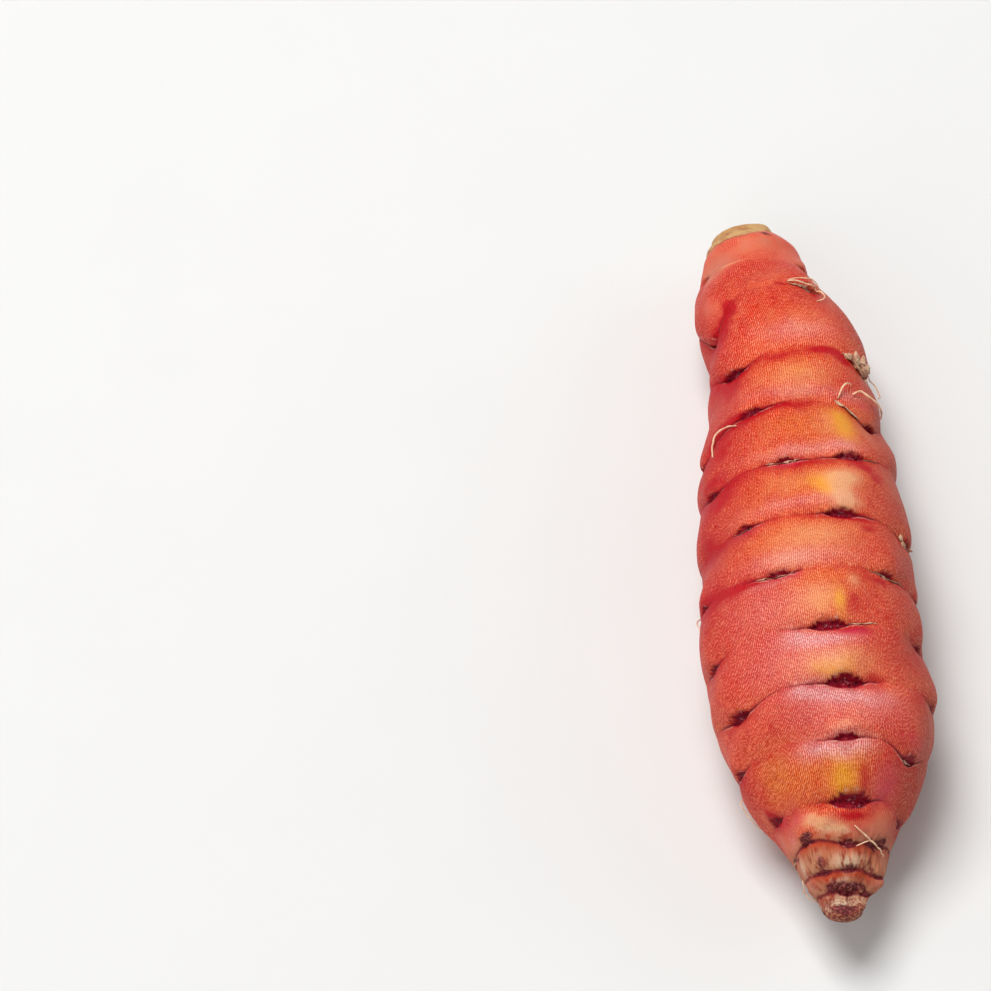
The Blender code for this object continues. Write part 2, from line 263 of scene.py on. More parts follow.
BLOTCHES = (
    (93.7, -40, 0.45, 1.3, 1.1), (95.1, 5, 0.40, 1.2, 1.0), (94.8, 46, 0.5, 1.0, 1.1),
    (94.4, 57, 0.5, 1.2, 1.1), (96.8, -31, 0.9, 0.40, 0.9), (97.5, 17, 0.35, 0.55, 0.7),
    (99.4, -17, 0.42, 0.9, 1.0), (99.6, 5, 0.55, 1.5, 1.1), (99.6, 28, 0.42, 1.2, 1.0),
    (99.4, 42, 0.42, 0.7, 0.9), (102.5, -6, 0.8, 1.6, 1.5), (95.1, -68, 0.5, 0.5, 1.0),
    (102.4, 30, 0.3, 0.5, 0.9), (102.1, -36, 0.3, 0.6, 0.9), (99.6, -36, 0.4, 0.8, 0.9),
    (94.6, 30, 0.5, 1.0, 1.0), (3.5, 18, 0.32, 0.75, 1.3), (68.5, -1, 0.16, 0.16, 1.3),
    (90.0, -78, 0.6, 0.8, 0.8), (97.5, 130, 0.6, 1.6, 0.9), (99.0, -120, 0.6, 1.4, 0.9),
    (95.4, -150, 0.5, 1.6, 0.8), (101.6, -90, 0.6, 1.0, 0.9), (99.8, 100, 0.5, 1.2, 0.9),
)
WARP = (2.4, 0.45, 2.4)
# The left of the scar half and the right of the tip half, seen from above, are a deeper and a duller red.
# Both are partly the skin's own colour and partly painted shade.
DEEP_FROM, DEEP_TO = -16.0, -68.0
DEEP_STATIONS = (6.0, 20.0, 60.0, 80.0)
DULL_FROM, DULL_TO = 24.0, 64.0
HEEL_DUST = (4.6, 9.8)
TIP_DRYNESS = (92.2, 95.4)
EMBER_FROM = (92.8, 93.8)
EMBER_TO = (99.8, 101.0)
EMBER_REACH = 1.15
HEEL_RED = (10.0, 4.2, 0.45)
TIP_SHADE = (100.2, 102.4)
CORK_EDGE = (2.9, 1.2)
CORK_CORE = (0.74, 0.30)
CORK_WAVER = (0.9, 0.25)
CORK_RIM = 0.42
DEEP_UNDER = (-160.0, -105.0)
DEEP_LOSS = 0.8
DULL_UNDER = (115.0, 165.0)
DULL_STATIONS = (4.0, 22.0)
DUST_BASE = 0.65
DUST_UNEVEN = 0.45
EMBER_LOSS = 0.75
TIP_DARKENING = 0.1045

# Marks that the shader tears at their edges: how far, the size of the tears in metres, and the softness left.
TORN_MARKS = {
    "tan": (0.8, 0.0016, 0.42), "cork": (0.10, 0.0006, 0.07), "yolk": (0.35, 0.0012, 0.50),
    "pale": (0.35, 0.0012, 0.48), "blotch": (1.0, 0.0006, 0.22), "film": (0.9, 0.0005, 0.30),
    "line": (0.8, 0.0005, 0.30), "eye": (0.30, 0.0004, 0.30),
}
WHOLE_MARKS = (
    "amber", "dusty", "deep", "dull", "shade", "warm", "flush", "magenta", "sheen", "ember", "core",
)
# How much each mark hides the files of cells, and how much it adds to the roughness.
BARE_SHARES = {"tan": 0.75, "pale": 0.75, "yolk": 0.5, "dusty": 1.25, "cork": 1.0}
ROUGH_SHARES = {"dull": 0.08, "tan": 0.18, "cork": 0.35}

# Rootlets: radius in millimetres, then station, angle and height above the skin of each point.
ROOTLETS = (
    (0.13, (
        (14.2, 14, 0.1), (14.3, 20, 0.5), (14.5, 30, 0.6), (14.4, 38, 0.7), (14.9, 43, 0.9),
        (16.0, 42, 0.9), (16.9, 38, 0.6), (17.2, 33, 0.1),
    )),
    (0.09, ((13.9, 16, 0.1), (13.8, 24, 0.6), (13.7, 34, 0.7), (14.1, 44, 0.5), (14.8, 48, 0.1))),
    (0.14, ((34.4, 25, 0.1), (33.2, 26, 0.7), (32.2, 29, 0.9), (31.7, 35, 0.4))),
    (0.16, ((33.3, 36, 0.3), (32.9, 40, 0.9), (33.9, 50, 1.0), (34.6, 60, 0.8), (34.9, 67, 0.3))),
    (0.13, ((39.7, -60, 0.1), (37.9, -60, 0.5), (36.5, -56, 0.7), (36.1, -49, 0.6), (36.6, -41, 0.2))),
    (0.13, ((93.2, 9, 0.1), (94.1, 17, 0.8), (94.8, 29, 1.1), (95.4, 45, 0.9), (95.8, 63, 0.3))),
    (0.09, ((94.7, 29, 1.0), (95.0, 22, 0.8), (95.3, 14, 0.2))),
    (0.09, ((26.2, 78, 0.1), (27.8, 82, 0.8), (29.6, 80, 0.7), (30.6, 74, 0.2))),
    (0.09, ((62.0, -96, 0.1), (60.2, -100, 0.7), (58.9, -108, 0.7), (58.6, -116, 0.2))),
    (0.10, ((45.2, 118, 0.1), (46.8, 122, 0.8), (49.0, 120, 0.8), (50.6, 114, 0.2))),
    (0.08, ((84.9, -104, 0.1), (86.2, -100, 0.5), (87.8, -101, 0.5), (88.8, -108, 0.1))),
    (0.08, ((97.3, -84, 0.1), (98.2, -90, 0.5), (99.4, -96, 0.5), (99.9, -104, 0.1))),
)
# Shreds of dead scale along a ring: its number, first and last angle, width, lift and place past the crease.
SHREDS = (
    (1, 12, 44, 0.55, 0.30, -0.30), (3, 22, 42, 0.85, 0.50, -0.30), (6, 30, 58, 0.40, 0.25, -0.05),
    (7, 13, 29, 0.26, 0.22, -0.05), (4, -24, -4, 0.40, 0.25, -0.10), (5, 60, 76, 0.90, 0.60, -0.30),
    (4, 34, 46, 0.35, 0.25, 0.0), (2, 36, 68, 1.30, 0.70, -0.30), (2, 44, 66, 1.00, 1.10, -0.60),
    (6, -32, -12, 0.32, 0.22, -0.02), (5, -48, -36, 0.30, 0.25, -0.05), (9, 46, 56, 0.40, 0.30, -0.10),
    (3, 120, 150, 0.60, 0.40, -0.30), (6, -156, -128, 0.60, 0.35, -0.20), (9, 124, 146, 0.55, 0.35, -0.20),
    (1, -150, -120, 0.55, 0.30, -0.20), (11, -120, -80, 0.45, 0.35, -0.20),
    (4, 126, 140, 0.50, 0.30, -0.10),
)
SHRED_THICKNESS = 0.06
# The least and greatest half width, half length and half thickness of a bud in a full eye, and of a crumb in
# a crust of radius 1.
BUD_SIZES = ((0.10, 0.20), (0.20, 0.38), (0.06, 0.11))
CRUMB_SIZES = ((0.7, 1.2), (0.5, 0.9), (0.22, 0.40))
# Crusts, which are clumps of dried scale: station, angle, radius and number of crumbs.
CRUSTS = (
    (25.9, 46, 0.70, 3), (26.5, 52, 0.85, 4), (27.2, 60, 0.85, 4), (27.9, 67, 0.65, 2),
    (55.3, 64, 0.55, 3), (35.4, 132, 0.60, 4), (78.0, -136, 0.50, 4),
)

FLOOR_SIDE = 4.0
# The lights: direction towards each, its distance and its side in metres.
KEY = (Vector((-0.22, 0.27, 0.90)), 1.5, 0.70)
FILL = (Vector((-0.55, -0.55, 0.65)), 1.3, 1.2)
RIM = (Vector((0.75, 0.15, 0.40)), 1.2, 0.8)
AIM = Vector((-39.176, 12.761, 12.0)) * MM
PIXEL_MM = 0.1345
IMAGE_SIDE = 991
SENSOR_WIDTH = 36.0


def through(points, at):
    """A smooth curve through the given points that doesn't overshoot between them."""
    x, y = np.array(points, float).T
    step = np.diff(x)
    rise = np.diff(y) / step
    same_way = rise[:-1] * rise[1:] > 0
    mean = 2 * rise[:-1] * rise[1:] / np.where(same_way, rise[:-1] + rise[1:], 1.0)
    slope = np.concatenate([rise[:1], np.where(same_way, mean, 0.0), rise[-1:]])
    at = np.clip(at, x[0], x[-1])
    i = np.clip(np.searchsorted(x, at) - 1, 0, len(x) - 2)
    u = (at - x[i]) / step[i]
    value = y[i] * (1 + 2 * u) * (1 - u) ** 2 + y[i + 1] * u * u * (3 - 2 * u)
    return value + step[i] * u * (1 - u) * (slope[i] * (1 - u) - slope[i + 1] * u)


def ease(low, high, value):
    """0 before low, 1 past high and a smooth step between them."""
    share = np.clip((value - low) / (high - low), 0, 1)
    return share * share * (3 - 2 * share)


def bell(value, reach):
    """1 where the value is 0, falling smoothly to nothing past its reach."""
    return np.exp(-((value / reach) ** 2))


def noise(x, y, z, seed):
    """Smooth noise between -1 and 1, from random values at whole-number corners."""
    points = np.stack(np.broadcast_arrays(x, y, z), axis=-1).astype(float)
    low = np.floor(points).astype(np.int64)
    share = points - low
    share = share * share * (3 - 2 * share)
    total = np.zeros(points.shape[:-1])
    for corner in itertools.product((0, 1), repeat=3):
        cell = low + corner
        mixed = cell[..., 0] * 73856093 ^ cell[..., 1] * 19349663 ^ cell[..., 2] * 83492791 ^ seed * 40503
        mixed = ((mixed ^ (mixed >> 13)) & 0xFFFFFFFF) * 1274126177 & 0xFFFFFFFF
        value = ((mixed ^ (mixed >> 15)) & 0xFFFF) / 32767.5 - 1
        total += value * np.prod(np.where(corner, share, 1 - share), axis=-1)
    return total


def turned(angle, eye_angle):
    """Degrees round the tuber from an eye to each angle, between -180 and 180."""
    return (angle - eye_angle + 180.0) % 360.0 - 180.0


def all_rings():
    """The rings with their hidden eyes added under the tuber."""
    draw = random.Random(SEED)
    rings = []
    for station, depth, eyes in RINGS:
        width = 0.85 * sum(eye[1] for eye in eyes) / len(eyes)
        hidden = tuple(
            (
                angle + draw.uniform(-UNDER_JITTER_DEG, UNDER_JITTER_DEG),
                width * draw.uniform(0.8, 1.1),
                UNDER_DIP,
            )
            for angle in UNDER_EYES
        )
        rings.append((station, depth, eyes + hidden))
    return rings


ALL_RINGS = all_rings()


def crease_station(ring, angle):
    """Where the ring's crease lies at each angle: it dips towards the tip at every eye."""
    station, _, eyes = ring
    dips = sum(dip * bell(turned(angle, eye), EYE_REACH_DEG) for eye, _, dip in eyes)
    return station + dips


def near_eyes(ring, angle, reach, stretch=0.0):
    """1 at the ring's eyes, falling to 0 between them.

    The reach is in degrees for each millimetre of an eye's width, and an eye that pulls its crease further
    towards the tip reaches further by the stretch.
    """
    nearness = sum(bell(turned(angle, eye), reach * (width + stretch * dip)) for eye, width, dip in ring[2])
    return np.clip(nearness, 0, 1)


def spots(listed, station, angle, girth):
    """The sum of soft spots: station, angle, reach along and across in millimetres, and height of each."""
    total = np.zeros(np.broadcast(station, angle).shape)
    for middle, at_angle, along, across, strength in listed:
        aside = np.radians(turned(angle, at_angle)) * girth
        total += strength * np.exp(-(((station - middle) / along) ** 2) - (aside / across) ** 2)
    return total


def underside(station):
    """Height of the body's lowest line above the surface it lies on."""
    scar_end = np.clip((REST_FROM - station) / REST_FROM, 0, 1)
    tip_end = np.clip((station - REST_TO) / (LENGTH - REST_TO), 0, 1)
    return SCAR_END_RISE * scar_end**2 + TIP_RISE * tip_end**1.9


def swells(station, angle):
    """Skin height from the broad uneven swells of the body."""
    draw = random.Random(SEED)
    turn = np.radians(angle)
    return sum(
        height * np.sin(waves * turn + 2 * math.pi * per_mm * station + draw.uniform(0, 2 * math.pi))
        for waves, per_mm, height in SWELLS
    )


def along_crease(shares, near, patchy):
    """How strong a mark is along a crease: what the nearness of eyes adds, a base and some unevenness."""
    gain, base, uneven = shares
    return np.clip(gain * near + base + uneven * patchy, 0, 1)


def survey(station, angle, look):
    """The skin's height, its slide towards the tip and its markings at each station and angle."""
    girth = through(RADIUS, station)
    turn = np.radians(angle)
    x, z = girth * np.sin(turn), girth * np.cos(turn)

    def here(period, seed, stretch=1.0):
        return noise(x / period, station / (stretch * period), z / period, seed)

    to_tip = np.clip((LENGTH - station) / TIP_STRETCH, 0, 1)
    patchy, ragged, crumbs = here(4.0, 5, 2.2), here(JAG_PERIOD, 21, 8.0), here(CRUMBS[0], 31)
    height, slide, pucker = (np.zeros(girth.shape) for _ in range(3))
    line, film, flush, eye_dark, ember, warm, dried_eyes = (np.zeros(girth.shape) for _ in range(7))
    start, full, fade, end = DEEP_STATIONS
    # Deeper red on the left, partly painted shade, and a darker red round the heel.
    deep = ease(DEEP_FROM, DEEP_TO, angle) * ease(*DEEP_UNDER, angle)
    deep *= ease(start, full, station) * (1 - DEEP_LOSS * ease(fade, end, station))
    deep = np.maximum(deep, HEEL_RED[2] * bell(station - HEEL_RED[0], HEEL_RED[1]))
    dryness = ease(*TIP_DRYNESS, station + 0.8 * patchy)

    for ring in ALL_RINGS:
        near = near_eyes(ring, angle, EYE_SPREAD)
        close = near_eyes(ring, angle, CRISP_SPREAD, DIP_CRISPNESS) if ring[0] < DRY_FROM else near
        clean = station - crease_station(ring, angle)
        past = clean + JAG * close * ragged
        dried = ease(*EYES_DRIED, ring[0])
        strength = ring[1] + (1 - ring[1]) * near
        room = np.where(past < 0, CREASE_BEFORE, CREASE_AFTER) * np.maximum(to_tip, TIP_CREASE_REACH)
        fine = np.maximum(to_tip, TIP_CREASE_DEPTH)
        soft = (CRISP_CREASE + SOFT_CREASE * (1 - close)) * np.maximum(to_tip, TIP_SOFTNESS)
        away = np.sqrt(past**2 + soft**2) - soft
        height -= look.crease_depth * 1000 * fine * strength * np.exp(-away / room)
        height -= FURROW[1] * close * bell(past, FURROW[0])
        pucker += strength * np.exp(-np.abs(past - PUCKER_PLACE) / PUCKER[1])
        line += along_crease(LINE_SHARES, close, patchy) * bell(past, LINE_REACH)
        line += DRIED_LINE[0] * dried * bell(past - DRIED_LINE[1], DRIED_LINE[2])
        film_band = bell(past - FILM_PLACE, FILM_REACH) * (station < DRY_FROM)
        film += along_crease(FILM_SHARES, close, patchy) * film_band
        base, by_eyes, by_depth, uneven = GLOW
        glow = np.clip(base + by_eyes * close + by_depth * deep + uneven * patchy, 0, 1.1) * strength
        reach = GLOW_REACH[0] + GLOW_REACH[1] * deep + GLOW_REACH[2] * patchy
        fall = np.where(past < 0, np.exp(past / GLOW_BEFORE), np.exp(-past / reach))
        flush += glow * fall * (GLOW_AT_TIP + (1 - GLOW_AT_TIP) * to_tip)
        ember = np.maximum(ember, np.where(past > -0.1, bell(np.clip(past, 0, None), EMBER_REACH), 0))
        band = np.where(past < 0, np.exp(past / BAND_GLOW), 0)
        warm = np.maximum(warm, band * (BAND_BASE + (1 - BAND_BASE) * near))
        for eye, width, _ in ring[2]:
            across = np.radians(turned(angle, eye)) * girth
            size = width / FULL_EYE
            back = np.clip(-past / (CUSHION_BACK * size), 0, None)
            swelling = back * np.exp(1 - back) * bell(across, CUSHION_ACROSS * width)
            height += look.cushion_height * 1000 * size * swelling
            lens = np.clip(1 - (2 * across / width) ** 2, 0, 1)
            tall = size * np.maximum(lens, 1e-6)
            down = np.clip((clean + EYE_ARCH * tall) / ((EYE_ARCH + EYE_DROP) * tall), -1, 2)
            pit = np.sqrt(lens) * ease(*PIT_LIP, down) * np.clip(1 - down, 0, 1) ** PIT_SLOPE
            height -= look.pit_depth * 1000 * size * pit
            bud = bell(across, BUD[0] * size) * bell(past - BUD[1] * size, BUD[2] * size)
            height += look.bud_height * 1000 * size * bud
            height += CRUMBS[1] * crumbs * size * np.sqrt(np.clip(pit, 0, 1))
            inside = ease(*EYE_CORNERS, lens) * ease(*EYE_TOP, down) * (1 - ease(*EYE_FOOT, down))
            eye_dark = np.maximum(eye_dark, inside * ease(*EYES_OPEN, ring[0]) * (1 - dried))
            dried_eyes = np.maximum(dried_eyes, inside * dried)
            edge = ease(*EYE_FILM_ENDS, lens) * bell(down + EYE_FILM[1], EYE_FILM[2])
            film += EYE_FILM[0] * edge * np.clip(0.4 + crumbs, 0, 1)
            slide += LIP[2] * size * np.sqrt(lens) * bell(down + LIP[0], LIP[1])
    height += swells(station, angle) + spots(BUMPS + SMALL_BUMPS, station, angle, girth)
    for period, rise in LUMPS:
        height += rise * here(period, int(10 * period))
    height += PUCKER[2] * np.clip(pucker, 0, 1.5) * here(PUCKER[0], 41, 5.0)
    height += FIBRE[2] * dryness * here(FIBRE[0], 43, FIBRE[1])
    rim = station - CORK_EDGE[0] + CORK_EDGE[1] * np.sin(turn) + CORK_WAVER[1] * here(CORK_WAVER[0], 47)
    height -= RIM_GROOVE[1] * bell(rim, RIM_GROOVE[0])

    wavy = station + WARP[1] * here(WARP[0], 51)
    round_wavy = angle + WARP[2] * here(WARP[0], 53)
    marks = {name: np.clip(spots(places, wavy, round_wavy, girth), 0, 1.2) for name, places in (
        ("yolk", YOLKS), ("amber", AMBERS), ("pale", PALES), ("sheen", SHEENS), ("magenta", MAGENTAS),
        ("blotch", BLOTCHES), ("crimson", CRIMSONS), ("dusty", DUSTIES),
    )}
    marks["flush"] = flush + marks.pop("crimson")
    dust = (1 - ease(*HEEL_DUST, station + 0.9 * patchy)) * (DUST_BASE + DUST_UNEVEN * here(1.6, 49))
    marks["dusty"] = np.clip(marks["dusty"] + dust, 0, 1)
    marks["blotch"] = np.maximum(marks["blotch"], dried_eyes)
    height += CRUMBS[1] * crumbs * np.clip(marks["blotch"], 0, 1)
    # Duller red on the right, partly painted shade.
    dull = ease(DULL_FROM, DULL_TO, angle) * (1 - ease(*DULL_UNDER, angle)) * ease(*DULL_STATIONS, station)
    ember = np.clip(ember * ease(*EMBER_FROM, station) * (1.1 + 0.5 * patchy), 0, 1)
    ember *= 1 - EMBER_LOSS * ease(*EMBER_TO, station)
    marks |= {"line": line, "film": film, "eye": eye_dark, "ember": ember, "deep": deep, "dull": dull}
    marks |= {"warm": warm, "tan": dryness, "cork": np.clip(0.5 - rim, 0, 1), "girth": girth}
    marks["shade"] = ease(*TIP_SHADE, station)
    return height, slide, marks


def skin_points(station, angle, radius, look):
    """Points of the skin in millimetres in the part's own frame, and the markings at each of them."""
    full = through(RADIUS, station)
    fade = np.clip(radius / full, 0, 1) ** 2
    height, slide, marks = survey(station, angle, look)
    marks["core"] = ease(*CORK_CORE, radius / SCAR_RADIUS)
    out = np.maximum(radius + height * fade, 0)
    turn = np.radians(angle)
    scar_end = np.clip(1 - station / SCAR_FADE, 0, 1)
    x = out * np.sin(turn) + through(SIDE, station) + SCAR_SHIFT * scar_end
    y = 0.5 * LENGTH - station - slide * fade + SCAR_SLANT * scar_end * out * np.sin(turn)
    z = out * np.cos(turn) + full + underside(station) - SINK
    return np.stack([x - MIDDLE[0], y - MIDDLE[1], np.maximum(z, 0)], axis=-1), marks


def on_skin(station, angle, lift, look):
    """Points in metres above the finished skin at each station and angle."""
    station, angle, lift = (np.asarray(value, float) for value in np.broadcast_arrays(station, angle, lift))
    points, _ = skin_points(station, angle, through(RADIUS, station) + lift, look)
    return points * MM


def fine_rows(angle):
    """Station and base radius of every row of the finished skin, from the middle of the scar to the tip."""
    rows = []
    for i in range(SCAR_ROWS):
        share = i / SCAR_ROWS
        station = float(through(SCAR_PROFILE, share))
        rows.append((np.full_like(angle, station), np.full_like(angle, SCAR_RADIUS * share)))
    lines = [np.full_like(angle, SCAR_STATION)]
    lines += [crease_station(ring, angle) for ring in ALL_RINGS]
    lines.append(np.full_like(angle, TIP_STATION))
    for crease, following in zip(lines, lines[1:]):
        gap = HEEL_ROW_GAP if crease is lines[0] else ROW_GAP
        count = max(4, round(float(np.mean(following - crease)) / gap))
        for i in range(count):
            share = i / count
            share -= ROW_CROWDING * math.sin(2 * math.pi * share) / (2 * math.pi)
            stations = crease + share * (following - crease)
            rows.append((stations, through(RADIUS, stations)))
    for i in range(TIP_ROWS + 1):
        turn = 0.5 * math.pi * i / TIP_ROWS
        station = TIP_STATION + (LENGTH - TIP_STATION) * math.sin(turn)
        rows.append((np.full_like(angle, station), np.full_like(angle, TIP_RADIUS * math.cos(turn))))
    return rows


def node(tree, kind, inputs=None, **settings):
    """A new shader node with its settings made and its inputs filled from values or other nodes' sockets."""
    made = tree.nodes.new(kind)
    for name, value in settings.items():
        setattr(made, name, value)
    for key, value in (inputs or {}).items():
        if isinstance(value, bpy.types.NodeSocket):
            tree.links.new(value, made.inputs[key])
        else:
            made.inputs[key].default_value = value
    return made


def maths(tree, operation, a, b=0.0, clamp=False):
    """The result of a Math node."""
    return node(tree, "ShaderNodeMath", {0: a, 1: b}, operation=operation, use_clamp=clamp).outputs[0]


def plus(tree, *parts):
    """The sum of sockets and numbers."""
    total = parts[0]
    for part in parts[1:]:
        total = maths(tree, "ADD", total, part)
    return total


def minus(tree, a, b):
    """The first less the second."""
    return maths(tree, "SUBTRACT", a, b)


def times(tree, *factors):
    """The product of sockets and numbers."""
    product = factors[0]
    for factor in factors[1:]:
        product = maths(tree, "MULTIPLY", product, factor)
    return product


def scaled(tree, value, gain, base):
    """The value times the gain, and the base added."""
    return plus(tree, times(tree, value, gain), base)


def wave(tree, value):
    """1 halfway between whole numbers and -1 at each of them."""
    phase = minus(tree, maths(tree, "FRACT", value), 0.5)
    return maths(tree, "COSINE", times(tree, phase, 2 * math.pi))


def remap(tree, value, low, high):
    """0 at low, 1 at high, and nothing outside that."""
    return node(tree, "ShaderNodeMapRange", {"Value": value, "From Min": low, "From Max": high}).outputs[0]


def layer(tree, under, over, mask, blend="MIX"):
    """The colour under, covered by the colour over where the mask is 1."""
    inputs = {0: mask, 6: under, 7: over}
    settings = {"data_type": "RGBA", "blend_type": blend, "clamp_factor": True}
    return node(tree, "ShaderNodeMix", inputs, **settings).outputs[2]


def cloud(tree, place, size, detail=2.0, roughness=0.5, stretch=None):
    """Noise with features of about the given size in metres."""
    if stretch:
        place = node(tree, "ShaderNodeMapping", {"Vector": place, "Scale": stretch}).outputs[0]
    inputs = {"Vector": place, "Scale": 1 / size, "Detail": detail, "Roughness": roughness}
    return node(tree, "ShaderNodeTexNoise", inputs).outputs["Fac"]


def mark(tree, name):
    """One of the skin's painted markings."""
    return node(tree, "ShaderNodeAttribute", attribute_name=name).outputs["Fac"]


def new_group(name, inputs, outputs):
    """An empty shader node group with its sockets, and its input and output nodes."""
    group = bpy.data.node_groups.new(name, "ShaderNodeTree")
    for socket, default in inputs:
        made = group.interface.new_socket(socket, in_out="INPUT", socket_type="NodeSocketFloat")
        made.default_value = default
    for socket in outputs:
        group.interface.new_socket(socket, in_out="OUTPUT", socket_type="NodeSocketFloat")
    return group, group.nodes.new("NodeGroupInput").outputs, group.nodes.new("NodeGroupOutput")


def torn_edge_group():
    """A soft mask turned into one with a torn edge."""
    name = "torn_edge"
    if name in bpy.data.node_groups:
        return bpy.data.node_groups[name]
    sockets = (("Mask", 0.0), ("Tear", 0.6), ("Size", 0.0005), ("Softness", 0.2))
    group, given, out = new_group(name, sockets, ("Mask",))
    place = group.nodes.new("ShaderNodeTexCoord").outputs["Object"]
    scale = maths(group, "DIVIDE", 1.0, given["Size"])
    tears = node(group, "ShaderNodeTexNoise", {"Vector": place, "Scale": scale, "Detail": 3.0}).outputs["Fac"]
    edge = plus(group, given["Mask"], times(group, minus(group, tears, 0.5), given["Tear"]))
    low = minus(group, 0.5, given["Softness"])
    high = plus(group, 0.5, given["Softness"])
    group.links.new(remap(group, edge, low, high), out.inputs["Mask"])
    return group


def torn(tree, mask, tear, size, softness):
    """The mask with a torn edge."""
    made = tree.nodes.new("ShaderNodeGroup")
    made.node_tree = torn_edge_group()
    tree.links.new(mask, made.inputs["Mask"])
    for name, value in (("Tear", tear), ("Size", size), ("Softness", softness)):
        made.inputs[name].default_value = value
    return made.outputs["Mask"]


def cell_file_group():
    """The skin's cells in lengthwise files. More files fit round the tuber where it is thicker."""
    name = "cell_files"
    if name in bpy.data.node_groups:
        return bpy.data.node_groups[name]
    sockets = (("Girth", 14.0), ("Spacing", 0.29), ("Cell Length", 0.58), ("Waver", 0.26))
    group, given, out = new_group(name, sockets, ("Height", "Grain"))
    place = group.nodes.new("ShaderNodeTexCoord").outputs["Object"]
    skin_map = node(group, "ShaderNodeUVMap", uv_map="skin").outputs[0]
    skin = node(group, "ShaderNodeSeparateXYZ", {0: skin_map}).outputs
    count = maths(group, "DIVIDE", times(group, given["Girth"], 2 * math.pi), given["Spacing"])
    level = maths(group, "LOGARITHM", count, math.sqrt(2))
    level = plus(group, level, times(group, cloud(group, place, 0.0035, detail=1.0), 0.8))
    files = maths(group, "POWER", math.sqrt(2), maths(group, "ROUND", level))
    sway = times(group, minus(group, cloud(group, place, 0.0012, detail=1.0), 0.5), given["Waver"], 6.0)
    across = plus(group, times(group, skin["X"], files), sway)
    file = maths(group, "FLOOR", across)
    start = node(group, "ShaderNodeTexWhiteNoise", {"W": file}, noise_dimensions="1D").outputs["Value"]
    uneven = times(group, cloud(group, place, 0.0008, detail=1.0), 2.5)
    along = maths(group, "DIVIDE", skin["Y"], given["Cell Length"])
    along = plus(group, along, times(group, start, 9.0), uneven)
    dome = plus(group, times(group, wave(group, across), 0.34), times(group, wave(group, along), 0.22))
    group.links.new(maths(group, "ADD", dome, 0.46, clamp=True), out.inputs["Height"])
    cell = node(group, "ShaderNodeCombineXYZ", {"X": file, "Y": maths(group, "FLOOR", along)}).outputs[0]
    grain = node(group, "ShaderNodeTexWhiteNoise", {"Vector": cell}, noise_dimensions="2D").outputs["Value"]
    group.links.new(grain, out.inputs["Grain"])
    return group


def new_material(name, roughness=0.5):
    """A material, its node tree and its Principled shader."""
    material = bpy.data.materials.new(name)
    material.use_nodes = True
    surface = material.node_tree.nodes["Principled BSDF"]
    surface.inputs["Roughness"].default_value = roughness
    return material, material.node_tree, surface


def covered(tree, colour, colours, layers):
    """The colour under each of the named colours, which are as strong as the product of their masks."""
    for name, *masks in layers:
        colour = layer(tree, colour, getattr(colours, name)[:], times(tree, *masks))
    return colour


